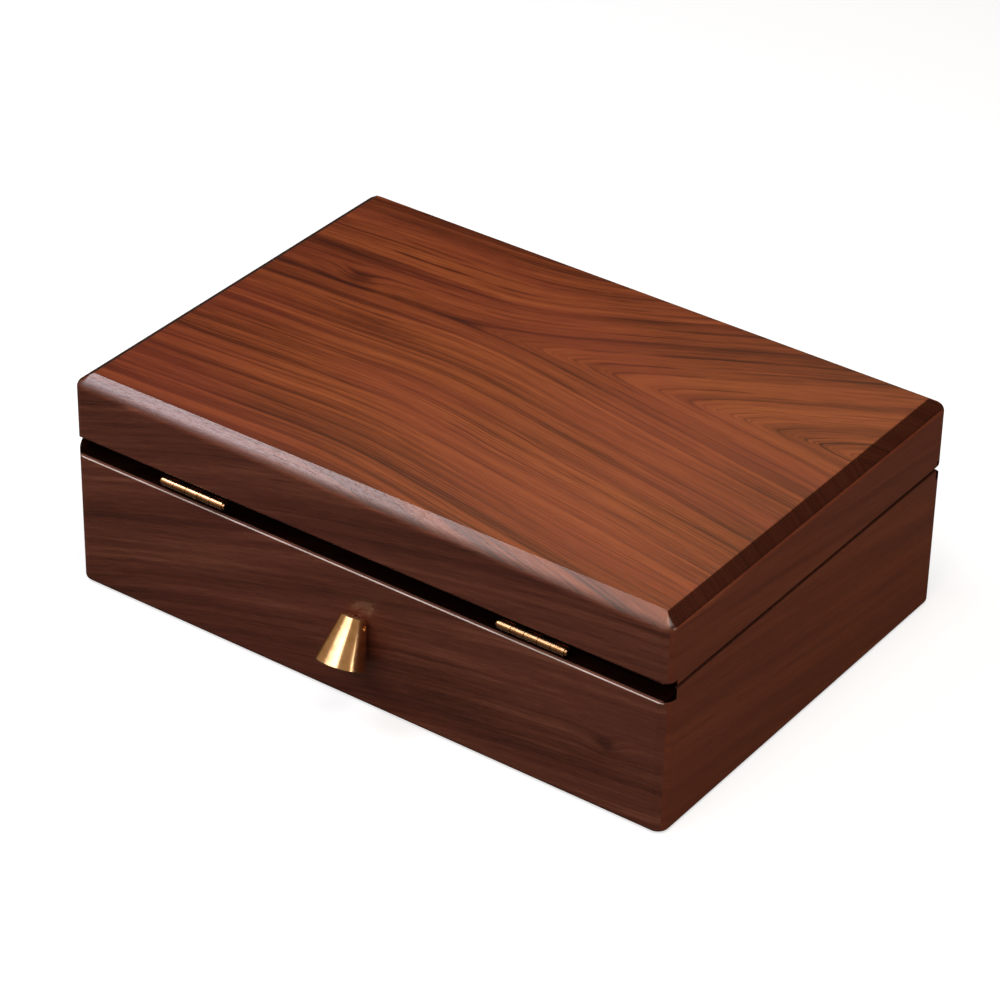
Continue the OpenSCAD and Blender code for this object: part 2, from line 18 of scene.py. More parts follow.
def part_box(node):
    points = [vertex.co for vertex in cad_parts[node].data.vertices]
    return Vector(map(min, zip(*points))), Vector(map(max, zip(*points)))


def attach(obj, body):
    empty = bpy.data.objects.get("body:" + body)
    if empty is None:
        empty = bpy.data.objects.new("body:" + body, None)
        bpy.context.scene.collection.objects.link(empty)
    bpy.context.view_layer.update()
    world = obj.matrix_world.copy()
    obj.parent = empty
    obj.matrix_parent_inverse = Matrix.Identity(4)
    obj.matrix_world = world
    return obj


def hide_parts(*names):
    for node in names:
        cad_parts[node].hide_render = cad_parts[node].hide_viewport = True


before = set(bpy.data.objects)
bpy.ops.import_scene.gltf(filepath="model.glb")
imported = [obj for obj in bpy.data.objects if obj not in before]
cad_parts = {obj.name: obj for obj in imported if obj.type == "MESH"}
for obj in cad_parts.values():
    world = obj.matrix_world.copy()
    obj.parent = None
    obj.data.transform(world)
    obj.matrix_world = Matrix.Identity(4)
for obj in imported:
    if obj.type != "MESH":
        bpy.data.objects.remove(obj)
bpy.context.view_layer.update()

MM = 0.001
WHITE = (1.0, 1.0, 1.0, 1.0)
BLACK = (0.0, 0.0, 0.0, 1.0)
log = logging.getLogger("watch_box")

Colour = tuple[float, float, float, float]
Number = Union["Field", float]
Span = tuple[float, float]


def far_corner(node: str) -> Vector:
    """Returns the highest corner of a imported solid, in millimetres."""
    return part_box(node)[1] / MM


HALF_LENGTH = far_corner("base_right_wall").x
HALF_WIDTH = far_corner("base_front_wall").y
RIM = far_corner("base_back_wall").z


def srgb(code: str) -> Colour:
    """Turns a colour written as on screen into the linear one that shaders take.

    Args:
        code: Six hexadecimal digits.

    Returns:
        Linear red, green, blue and an alpha of one.
    """
    shown = [int(code[i:i + 2], 16) / 255 for i in (0, 2, 4)]
    red, green, blue = (c / 12.92 if c <= 0.04045 else ((c + 0.055) / 1.055) ** 2.4 for c in shown)
    return (red, green, blue, 1.0)


# ---- Shader maths --------------------------------------------------------------------------------------------

class Field:
    """A number that varies over a surface: arithmetic on it adds Math nodes."""

    def __init__(self, graph: "Tree", socket: bpy.types.NodeSocket) -> None:
        """Wraps an output socket of a tree's node."""
        self.graph = graph
        self.socket = socket

    def __add__(self, other: Number) -> "Field":
        """Returns the sum."""
        return self.graph.math("ADD", self, other)

    def __sub__(self, other: Number) -> "Field":
        """Returns the difference."""
        return self.graph.math("SUBTRACT", self, other)

    def __rsub__(self, other: Number) -> "Field":
        """Returns the difference with the field on the right."""
        return self.graph.math("SUBTRACT", other, self)

    def __mul__(self, other: Number) -> "Field":
        """Returns the product."""
        return self.graph.math("MULTIPLY", self, other)

    def __truediv__(self, other: Number) -> "Field":
        """Returns the quotient."""
        return self.graph.math("DIVIDE", self, other)

    def __pow__(self, other: Number) -> "Field":
        """Returns the power."""
        return self.graph.math("POWER", self, other)

    def __abs__(self) -> "Field":
        """Returns the size without its sign."""
        return self.graph.math("ABSOLUTE", self)

    __radd__ = __add__
    __rmul__ = __mul__

    def root(self) -> "Field":
        """Returns the square root."""
        return self.graph.math("SQRT", self)

    def floor(self) -> "Field":
        """Returns the whole number below."""
        return self.graph.math("FLOOR", self)

    def bell(self) -> "Field":
        """Returns exp(-x * x), a bump one high about zero."""
        return self.graph.math("POWER", math.e, self * self * -1.0)

    def step(self, low: float, high: float) -> "Field":
        """Returns a smooth rise from zero at low to one at high.

        Args:
            low: Where the rise starts.
            high: Where it ends.

        Returns:
            The smoothed share, from zero to one.
        """
        node = self.graph.node("ShaderNodeMapRange", {"interpolation_type": "SMOOTHSTEP"},
                               {"Value": self, "From Min": low, "From Max": high})
        return Field(self.graph, node.outputs["Result"])

    def band(self, rise: Span, fall: Span) -> "Field":
        """Returns a share that rises smoothly to one over a first span and falls to zero over a second."""
        return self.step(*rise) * (1.0 - self.step(*fall))


class Tree:
    """A node tree that is filled by one method."""

    def __init__(self, tree: bpy.types.NodeTree) -> None:
        """Takes a tree and empties it."""
        self.tree = tree
        self.tree.nodes.clear()

    def feed(self, node: bpy.types.Node, values: dict[Union[str, int], Any]) -> None:
        """Sets or links sockets of a node.

        Args:
            node: The node.
            values: Its sockets by name or place, each a field, a socket or a plain value.
        """
        for key, value in values.items():
            source = value.socket if isinstance(value, Field) else value
            if isinstance(source, bpy.types.NodeSocket):
                self.tree.links.new(source, node.inputs[key])
            else:
                node.inputs[key].default_value = source

    def node(self, kind: str, settings: dict[str, Any], values: dict[Union[str, int], Any]) -> bpy.types.Node:
        """Adds a node.

        Args:
            kind: The node's type.
            settings: Its properties; "stops" are a ramp's positions and colours.
            values: Its sockets by name or place, each a field, a socket or a plain value.

        Returns:
            The node.
        """
        node = self.tree.nodes.new(kind)
        for key, value in settings.items():
            if key == "stops":
                elements = node.color_ramp.elements
                while len(elements) < len(value):
                    elements.new(0.5)
                for element, (place, colour) in zip(elements, value):
                    element.position = place
                    element.color = colour
            else:
                setattr(node, key, value)
        self.feed(node, values)
        return node

    def math(self, operation: str, *operands: Number) -> Field:
        """Returns the field of a Math node with that operation on those operands."""
        node = self.node("ShaderNodeMath", {"operation": operation}, dict(enumerate(operands)))
        return Field(self, node.outputs[0])

    def mix(self, share: Number, first: Any, second: Any) -> bpy.types.NodeSocket:
        """Returns the colour that goes from the first to the second with the share."""
        return self.node("ShaderNodeMix", {"data_type": "RGBA"}, {0: share, 6: first, 7: second}).outputs[2]

    def ray(self, kind: str) -> Field:
        """Returns one where a ray is of that kind, by its name on the Light Path node, and zero elsewhere."""
        return Field(self, self.node("ShaderNodeLightPath", {}, {}).outputs[kind])


class Graph(Tree):
    """The node tree of one material, with a Principled surface."""

    def __init__(self, name: str) -> None:
        """Makes a material of that name."""
        self.material = bpy.data.materials.new(name)
        self.material.use_nodes = True
        super().__init__(self.material.node_tree)
        self.surface = self.node("ShaderNodeBsdfPrincipled", {}, {})
        self.node("ShaderNodeOutputMaterial", {}, {"Surface": self.surface.outputs["BSDF"]})

    def place(self) -> tuple[Field, Field, Field]:
        """Returns X, Y and Z of the surface in the object's own frame, in millimetres."""
        where = self.node("ShaderNodeTexCoord", {}, {}).outputs["Object"]
        scaled = self.node("ShaderNodeVectorMath", {"operation": "SCALE"}, {0: where, "Scale": 1 / MM})
        parts = self.node("ShaderNodeSeparateXYZ", {}, {0: scaled.outputs[0]})
        return Field(self, parts.outputs[0]), Field(self, parts.outputs[1]), Field(self, parts.outputs[2])

    def noise(self, x: Number, y: Number, z: Number = 0.0, detail: float = 2.0, rough: float = 0.5) -> Field:
        """Returns smooth noise about zero.

        Args:
            x: First coordinate, one unit to a lump.
            y: Second coordinate.
            z: Third coordinate.
            detail: Number of finer layers.
            rough: Strength of each finer layer.

        Returns:
            The noise, mostly from -0.3 to 0.3.
        """
        spot = self.node("ShaderNodeCombineXYZ", {}, {0: x, 1: y, 2: z}).outputs[0]
        node = self.node("ShaderNodeTexNoise", {"noise_dimensions": "3D"},
                         {"Vector": spot, "Scale": 1.0, "Detail": detail, "Roughness": rough})
        return Field(self, node.outputs[0]) - 0.5

    def cloud(self, size: float, detail: float = 2.0) -> Field:
        """Returns noise with lumps of that size in every direction, in millimetres."""
        x, y, z = self.place()
        return self.noise(x / size, y / size, z / size, detail)

    def chance(self, number: Field, seed: float) -> Field:
        """Returns a random share for each value of a number.

        Args:
            number: The field that picks the share.
            seed: Sets one series of shares apart from another.

        Returns:
            A share from zero to one.
        """
        node = self.node("ShaderNodeTexWhiteNoise", {"noise_dimensions": "1D"}, {"W": number + seed})
        return Field(self, node.outputs["Value"])

    def ramp(self, share: Field, codes: Sequence[str]) -> bpy.types.NodeSocket:
        """Returns the colour at a share of an even ramp through colours written as on screen."""
        stops = [(i / (len(codes) - 1), srgb(code)) for i, code in enumerate(codes)]
        return self.node("ShaderNodeValToRGB", {"stops": stops}, {0: share}).outputs["Color"]

    def finish(self, relief: Optional[Field] = None, depth: float = 0.0, **values: Any) -> bpy.types.Material:
        """Sets the surface's sockets.

        Args:
            relief: Height of the surface's fine relief, from zero to one.
            depth: Depth of that relief, in metres.
            **values: The Principled sockets, with underscores for spaces.

        Returns:
            The material.
        """
        if relief is not None:
            bump = self.node("ShaderNodeBump", {}, {"Height": relief, "Distance": depth, "Strength": 1.0})
            values["Normal"] = bump.outputs[0]
        self.feed(self.surface, {key.replace("_", " "): value for key, value in values.items()})
        return self.material


# ---- Wood ----------------------------------------------------------------------------------------------------

class Grain(Enum):
    """How a board lies: which of X, Y and Z run along its grain, across its face and through it."""

    TOP = (0, 1, 2)
    LONG_WALL = (0, 2, 1)
    SHORT_WALL = (1, 2, 0)


@dataclass(frozen=True)
class Knot:
    """A knot in a board: its place and half sizes along and across the grain, in millimetres.

    The push is how far it bends the rings aside, and dark how much darker it is.
    """

    along: float
    across: float
    half_length: float
    half_width: float
    push: float
    dark: float


@dataclass(frozen=True)
class Streak:
    """Noise drawn out along the grain: its length and width in millimetres and how finely it breaks up."""

    length: float
    width: float
    seed: float
    detail: float = 2.0
    rough: float = 0.5

    def draw(self, g: Graph, along: Field, across: Field, seed: float) -> Field:
        """Returns the noise about zero, apart from that of a board with another seed."""
        return g.noise(along / self.length, across / self.width, seed + self.seed, self.detail, self.rough)


@dataclass(frozen=True)
class FineLines:
    """Fine dark lines that run with the rings, sway a little and come and go along the board.

    The pitch is from one line to the next, the width is half of a line's, and a line runs on for about its
    length before it fades, all in millimetres.
    """

    pitch: float
    width: float
    seed: float
    length: float = 36.0
    sway: float = 0.9
    sway_length: float = 70.0

    def draw(self, g: Graph, along: Field, rings: Field, seed: float) -> Field:
        """Draws the lines.

        Args:
            g: The graph to draw in.
            along: Place along the grain.
            rings: Place across the rings.
            seed: Sets one board apart from another.

        Returns:
            How dark the lines are, from zero to one.
        """
        seed = seed + self.seed
        turn = rings / self.pitch + g.noise(along / self.sway_length, rings / (self.pitch * 3), seed) * self.sway
        whole = turn.floor()
        drawn = g.noise(along / self.length, whole * 3.7, seed + 0.5, 1.0).step(-0.10, 0.08)
        return ((turn - whole - 0.5) * (self.pitch / self.width)).bell() * g.chance(whole, seed) * drawn


@dataclass
class Face:
    """What a board's face looks like while it is being finished: its colour, roughness, coat and painted shade.
    """

    colour: bpy.types.NodeSocket
    rough: Field
    coat: Number
    # Where shade is painted in the groove and the seam; the same share takes the gloss out there.
    painted_shade: Number = 0.0


@dataclass(frozen=True)
class EndGrain:
    """The dark, uncoated end grain on the bevels at a board's ends, up to their mitres with the long bevels.

    It starts at a distance from the board's middle, in millimetres.
    """

    start: float
    colour: str = "2b0a03"
    share: float = 0.9

    def cut(self, g: Graph, face: Face, along: Field, across: Field) -> Field:
        """Darkens the ends of a face.

        Args:
            g: The graph to draw in.
            face: The face to cut.
            along: Place along the grain.
            across: Place across the face.

        Returns:
            Where the end grain shows, from zero to one.
        """
        mitre = HALF_WIDTH - abs(across) - (HALF_LENGTH - abs(along))
        end = abs(along).step(self.start, self.start + 0.5) * mitre.step(0.0, 0.3)
        face.colour = g.mix(end * self.share, face.colour, srgb(self.colour))
        face.rough = face.rough - end * 0.08
        face.coat = (1.0 - end) * face.coat
        return end


@dataclass(frozen=True)
class DulledShadedArris:
    """The edge below a long bevel, where the coat is dulled and the wood is darkened with painted shade."""

    depth: Span = (0.6, 3.4)
    # The colour of the painted shade under the bevel.
    colour: str = "35150c"

    def dull_and_shade(self, g: Graph, face: Face, y: Field) -> None:
        """Dulls a face near the box's long sides and paints shade on it.

        Args:
            g: The graph to draw in.
            face: The face to wear.
            y: Place across the box.
        """
        dulled_shaded = 1.0 - (HALF_WIDTH - abs(y)).step(*self.depth)
        # Painted shade: darker towards the long sides, below the bevel's highlight.
        face.colour = g.mix(dulled_shaded * 0.6, face.colour, srgb(self.colour))
        face.rough = face.rough + dulled_shaded * 0.25
        face.coat = face.coat - dulled_shaded * face.coat * 0.9


@dataclass(frozen=True)
class Groove:
    """The groove along the long sides and the seam at the ends, painted dark as shade, and a painted highlight on
    the arris under the groove.

    Depths are from the outer faces and heights from the base's rim, in millimetres.
    """

    mouth: Span = (0.5, 0.9)
    root: Span = (5.4, 5.7)
    low: Span = (-5.3, -4.7)
    high: Span = (3.0, 3.5)
    seam_depth: Span = (0.9, 1.3)
    seam_low: Span = (-1.1, -0.4)
    seam_high: Span = (0.6, 1.2)
    arris_depth: Span = (0.6, 1.0)
    arris_low: Span = (-5.85, -5.65)
    arris_high: Span = (-5.45, -5.25)
    # Colours of the painted shade in the groove and the seam, and of the painted highlight on the arris.
    shade_black: str = "030201"
    pale: str = "fff2ee"

    def paint(self, g: Graph, face: Face, place: tuple[Field, Field, Field], streaks: Field) -> None:
        """Paints shade into the groove and the seam and paints a highlight on the arris.

        Args:
            g: The graph to draw in.
            face: The face to paint.
            place: X, Y and Z on it.
            streaks: The wood's streaks, which break up the painted highlight on the arris.
        """
        x, y, z = place
        depth = HALF_WIDTH - abs(y)
        height = z - RIM
        # Painted shade: the groove's slopes and the seam between lid and base are darkened where shade falls.
        slopes = depth.band(self.mouth, self.root) * height.band(self.low, self.high)
        seam = (1.0 - (HALF_LENGTH - abs(x)).step(*self.seam_depth)) * height.band(self.seam_low, self.seam_high)
        # Painted highlight: a pale line on the arris under the groove, where the edge catches the light.
        arris = (1.0 - depth.step(*self.arris_depth)) * height.band(self.arris_low, self.arris_high)
        face.painted_shade = g.math("MAXIMUM", slopes, seam * 0.7)
        face.colour = g.mix(face.painted_shade * 0.95, face.colour, srgb(self.shade_black))
        face.colour = g.mix(arris * (0.85 + streaks * 0.8), face.colour, srgb(self.pale))
        face.rough = face.rough + face.painted_shade * 0.4
        face.coat = face.coat - face.painted_shade * face.coat


@dataclass(frozen=True)
class WalnutFinish:
    """Lacquered walnut, sawn so that its growth rings run along the board and close into arches.

    Attributes:
        name: The material's name.
        grain: How the board lies.
        ramp: Its colours from dark to light.
        blush: A warmer tint that comes and goes.
        heart: Where the rings' axis meets the board, along and across the grain.
        spread: How wide the rings open above and below that axis.
        taper: How fast the arches close along the board.
        start: How far along the board the arches begin.
        tilt: Slope of the grain across the board.
        bend: Curve of the grain.
        ring: Distance from one ring to the next.
        wander: How far the rings stray in long waves and in short ones.
        contrast: Strength of the whole figure.
        late: Darkness of the late wood in each ring.
        lines: Darkness of the fine lines.
        painted_sheen: How strongly one end is painted paler, as a sheen of light, and the other darker and
            redder, as shade.
        rim: How much darker the board is near its edges.
        knots: Its knots.
        seed: Sets one board apart from another.
        rough: Roughness of the lacquer.
        coat: Strength of the gloss over it.
        end_grain: The bevels that are cut across the grain.
        arris: The edge below a long bevel, dulled, with painted shade.
        groove: The groove and seam between base and lid.
        waves: The long waves and the short ones in the rings.
        bands: Broad bands of light and dark wood.
        streaks: Narrow streaks.
        pale: Where the wood is paler.
        warm: Where the blush shows.
        threads: The wider of the fine lines.
        hairs: The finer ones.
        sheen_colour: The pale colour painted at one end as a sheen of light.
    """

    name: str
    grain: Grain
    ramp: tuple[str, ...]
    blush: str
    heart: tuple[float, float]
    spread: tuple[float, float] = (1.0, 1.0)
    taper: float = 0.12
    start: float = -999.0
    tilt: float = 0.0
    bend: float = 0.0
    ring: float = 4.9
    wander: tuple[float, float] = (3.4, 0.5)
    contrast: float = 1.0
    late: float = 0.18
    lines: float = 0.3
    painted_sheen: float = 0.0
    rim: float = 0.0
    knots: tuple[Knot, ...] = ()
    seed: float = 0.0
    rough: float = 0.32
    coat: float = 0.3
    end_grain: Optional[EndGrain] = None
    arris: Optional[DulledShadedArris] = None
    groove: Optional[Groove] = None
    waves: tuple[Streak, Streak] = (Streak(90, 26, 0.0), Streak(26, 8, 7.0))
    bands: Streak = Streak(230, 14, 3.0, 3.0, 0.55)
    streaks: Streak = Streak(140, 2.6, 5.0, 3.0)
    pale: Streak = Streak(110, 5.5, 11.0)
    warm: Streak = Streak(120, 30, 19.0, 1.0)
    threads: FineLines = FineLines(2.3, 0.42, 9.0)
    hairs: FineLines = FineLines(1.05, 0.24, 15.0)
    sheen_colour: str = "c9936c"

    def rings(self, g: Graph, along: Field, across: Field, through: Field) -> tuple[Field, Number]:
        """Lays out the growth rings and the knots that push them aside.

        Args:
            g: The graph to draw in.
            along: Place along the grain.
            across: Place across the face.
            through: Depth in the board.

        Returns:
            The distance across the rings, and how dark the knots are.
        """
        off = across - self.heart[1] - along * self.tilt - along * along * self.bend
        off = off + self.waves[0].draw(g, along, across, self.seed) * self.wander[0]
        off = off * (self.spread[1] + off.step(-6.0, 6.0) * (self.spread[0] - self.spread[1]))
        dark: Number = 0.0
        for knot in self.knots:
            near = (((along - knot.along) / knot.half_length) ** 2.0
                    + ((across - knot.across) / knot.half_width) ** 2.0).root()
            off = off + (near * 0.6).bell() * knot.push
            dark = (near + g.noise(along / 3, across / 3, self.seed) * 0.9).bell() * knot.dark + dark
        reach = g.math("SMOOTH_MAX", along, self.start, 45.0)
        slope = (self.heart[0] - reach) * self.taper + through * 0.35
        rings = (off * off + 5.0).root() + slope
        return rings + self.waves[1].draw(g, along, across, self.seed) * self.wander[1], dark

    def late_wood(self, g: Graph, rings: Field) -> Field:
        """Draws the late wood: each ring darkens towards its end, some more than others.

        Args:
            g: The graph to draw in.
            rings: Place across the rings.

        Returns:
            How dark it is, from zero to one.
        """
        turn = rings / self.ring
        whole = turn.floor()
        share = turn - whole
        return (share ** 2.5) * (1.0 - share.step(0.86, 1.0)) * (g.chance(whole, self.seed + 0.37) * 0.7 + 0.3)

    def make(self) -> bpy.types.Material:
        """Mixes the wood from its rings, streaks, fine lines, pores and knots.

        Returns:
            The material.
        """
        g = Graph(self.name)
        place = g.place()
        along, across, through = (place[i] for i in self.grain.value)
        rings, knots = self.rings(g, along, across, through)
        streaks = self.streaks.draw(g, along, rings, self.seed)
        fine = g.noise(along / 9, rings / 0.42, through / 3, 2.0, 0.65)
        pores = g.noise(along / 5, rings / 0.24, through / 0.5, 1.0).step(0.10, 0.20)
        pale = self.pale.draw(g, along, rings, self.seed).step(0.06, 0.24)
        lines = (self.threads.draw(g, along, rings, self.seed)
                 + self.hairs.draw(g, along, rings, self.seed) * 0.7)
        tone = (0.58 + self.bands.draw(g, along, rings, self.seed) * 0.60 + streaks * 0.40 + fine * 0.40
                + pale * 0.13 - self.late_wood(g, rings) * self.late - lines * self.lines)
        tone = (tone - 0.5) * self.contrast + 0.5 - pores * 0.10 - knots
        if self.rim:
            near_edge = g.math("MAXIMUM", abs(across) / HALF_WIDTH, abs(along) / HALF_LENGTH)
            tone = tone - near_edge.step(0.45, 1.0) * self.rim

        wood = g.ramp(tone, self.ramp)
        warm = self.warm.draw(g, along, across, self.seed).step(-0.08, 0.18)
        wood = g.mix(warm * 0.5, wood, g.mix(0.55, wood, srgb(self.blush)))
        # Painted light: paler towards one end, where a sheen is painted, and darker and redder towards the other,
        # where shade is painted.
        if self.painted_sheen:
            sheen_share = (along - across * 0.5).step(-120.0, 130.0)
            wood = g.mix(sheen_share * self.painted_sheen, wood, srgb(self.sheen_colour))
            wood = g.mix((1.0 - sheen_share) * self.painted_sheen * 1.8, wood, srgb(self.ramp[1]))

        face = Face(wood, self.rough + streaks * 0.10 + pores * 0.10, self.coat)
        relief = fine * 0.35 - pores * 0.5
        if self.end_grain:
            relief = relief * (1.0 - self.end_grain.cut(g, face, along, across))
        if self.arris:
            self.arris.dull_and_shade(g, face, place[1])
        if self.groove:
            self.groove.paint(g, face, place, streaks)
        # Metallic follows the painted shade, so that with its near-black colour the groove and the seam lose
        # their gloss too.
        return g.finish(0.6 + relief, 0.04 * MM, Base_Color=face.colour, Roughness=face.rough, IOR=1.5,
                        Specular_IOR_Level=0.5, Metallic=face.painted_shade, Coat_Weight=face.coat, Coat_Roughness=0.26)


# ---- Other finishes ------------------------------------------------------------------------------------------

@dataclass(frozen=True)
class BrassFinish:
    """Turned and lacquered brass, with fine tool marks round an axis that leans, and a little tarnish."""

    name: str
    colour: str
    tarnish: str
    rough: float
    lean: float = 0.0
    pitch: float = 0.22

    def make(self) -> bpy.types.Material:
        """Mixes the metal.

        Returns:
            The material.
        """
        g = Graph(self.name)
        x, y, z = g.place()
        axis = z * math.cos(self.lean) + y * math.sin(self.lean)
        marks = g.noise(axis / self.pitch, x / 40, y / 40)
        cloud = g.cloud(4, 3.0)
        scuffs = g.noise(x / 0.7, y / 0.7, z / 2.6).step(0.08, 0.25)
        colour = g.mix(cloud.step(-0.08, 0.25) * 0.55, srgb(self.colour), srgb(self.tarnish))
        rough = self.rough + marks * 0.04 + scuffs * 0.03 + cloud * 0.04
        return g.finish(0.5 + marks, 0.0004 * MM, Base_Color=colour, Metallic=1.0, Roughness=rough)


@dataclass(frozen=True)
class SuedeFinish:
    """Short-napped suede: brushed lights and darks over a fine matt pile."""

    name: str
    light: str
    dark: str
    nap: float = 1.0

    def make(self) -> bpy.types.Material:
        """Mixes the cloth from its brushed nap and its pile.

        Returns:
            The material.
        """
        g = Graph(self.name)
        brushed, mottle, pile = g.cloud(17, 3.0), g.cloud(3.4, 3.0), g.cloud(0.45)
        tone = 0.5 + brushed * 1.3 * self.nap + mottle * 0.7 + pile * 0.8
        return g.finish(0.7 + pile + mottle * 0.4, 0.12 * MM, Base_Color=g.ramp(tone, (self.dark, self.light)),
                        Roughness=0.86 + pile * 0.12, Sheen_Weight=0.35, Sheen_Roughness=0.4,
                        Specular_IOR_Level=0.25)


@dataclass(frozen=True)
class FeltFinish:
    """Pressed wool felt with crossing fibres."""

    name: str
    light: str
    dark: str

    def make(self) -> bpy.types.Material:
        """Mixes the felt from two sets of fibres.

        Returns:
            The material.
        """
        g = Graph(self.name)
        x, y, z = g.place()
        fibres = g.noise(x / 0.3, y / 2.2, z, 3.0) * 0.5 + g.noise(x / 2.2, y / 0.3, z, 3.0) * 0.5
        tone = 0.5 + fibres * 2.2 + g.noise(x / 5, y / 5, z, 3.0) * 0.9
        return g.finish(0.5 + fibres, 0.25 * MM, Base_Color=g.ramp(tone, (self.dark, self.light)),
                        Roughness=0.95 + fibres * 0.1)


@dataclass(frozen=True)
class PlywoodFinish:
    """Birch plywood: pale rotary-cut faces and layered edges."""

    name: str
    light: str
    dark: str
    ply: float = 1.25

    def make(self) -> bpy.types.Material:
        """Mixes the board from its figure and its layers.

        Returns:
            The material.
        """
        g = Graph(self.name)
        x, y, z = g.place()
        figure = g.noise(x / 60, y / 9, z / 30, 3.0, 0.6)
        lines = g.noise(x / 30, y / 0.8, z / 0.8)
        layer = g.chance((z / self.ply).floor(), 0.5) - 0.5
        tone = 0.55 + figure * 0.9 + lines * 0.5 + layer * 0.25
        return g.finish(0.5 + lines, 0.06 * MM, Base_Color=g.ramp(tone, (self.dark, self.light)),
                        Roughness=0.6 + lines * 0.2)


@dataclass(frozen=True)
class SteelFinish:
    """Bright plated steel with fine rubbing marks and dull patches."""

    name: str
    colour: str
    dull: str = "8d8f92"
    rough: float = 0.22

    def make(self) -> bpy.types.Material:
        """Mixes the metal.

        Returns:
            The material.
        """
        g = Graph(self.name)
        x, y, z = g.place()
        rubs = g.noise(x / 0.25, y / 2.5, z / 2.5, 3.0)
        colour = g.mix(g.cloud(3).step(-0.1, 0.3) * 0.4, srgb(self.colour), srgb(self.dull))
        return g.finish(0.5 + rubs, 0.01 * MM, Base_Color=colour, Metallic=1.0, Roughness=self.rough + rubs * 0.2)


# ---- Modelling -----------------------------------------------------------------------------------------------

def deselect() -> None:
    """Leaves object mode and deselects everything."""
    if bpy.context.object and bpy.context.object.mode != "OBJECT":
        bpy.ops.object.mode_set(mode="OBJECT")
    bpy.ops.object.select_all(action="DESELECT")


def activate(piece: bpy.types.Object) -> None:
    """Makes one piece the only selected and the active one."""
    deselect()
    piece.select_set(True)
    bpy.context.view_layer.objects.active = piece


def pick(piece: bpy.types.Object, wanted: Callable[[bmesh.types.BMVert], bool], mode: str = "VERT") -> None:
    """Selects parts of a mesh in edit mode by the place of their corners.

    Args:
        piece: The object in edit mode.
        wanted: Says of a corner whether it is wanted.
        mode: VERT, EDGE or FACE.
    """
    bpy.ops.mesh.select_mode(type="VERT")
    bpy.ops.mesh.select_all(action="DESELECT")
    mesh = bmesh.from_edit_mesh(piece.data)
    for vert in mesh.verts:
        vert.select = wanted(vert)
    mesh.select_flush_mode()
    if mode != "VERT":
        bpy.ops.mesh.select_mode(type=mode)
    bmesh.update_edit_mesh(piece.data)


def settle(piece: bpy.types.Object) -> None:
    """Moves a piece's place into its mesh, so that its object sits at the origin."""
    piece.data.transform(piece.matrix_world)
    piece.matrix_world = Matrix.Identity(4)


def twin(piece: bpy.types.Object, name: str, turn: Matrix) -> bpy.types.Object:
    """Copies a piece with a mesh of its own.

    Args:
        piece: The piece at the origin.
        name: Name of the copy.
        turn: How the copy's mesh is turned and moved.

    Returns:
        The copy.
    """
    copy = piece.copy()
    copy.data = piece.data.copy()
    copy.name = name
    copy.data.name = name
    copy.data.transform(turn)
    bpy.context.scene.collection.objects.link(copy)
    return copy


def dress(piece: bpy.types.Object, material: bpy.types.Material) -> str:
    """Gives a piece one material all over and returns its name."""
    piece.data.materials.clear()
    piece.data.materials.append(material)
    return piece.name


def dress_nodes(material: bpy.types.Material, wanted: Callable[[str], bool]) -> list[str]:
    """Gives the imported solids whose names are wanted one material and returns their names."""
    return [dress(node, material) for name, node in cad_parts.items() if wanted(name)]


def smooth(piece: bpy.types.Object) -> None:
    """Shades a piece smooth except at its sharp edges."""
    activate(piece)
    bpy.ops.object.shade_smooth_by_angle(angle=math.radians(50))


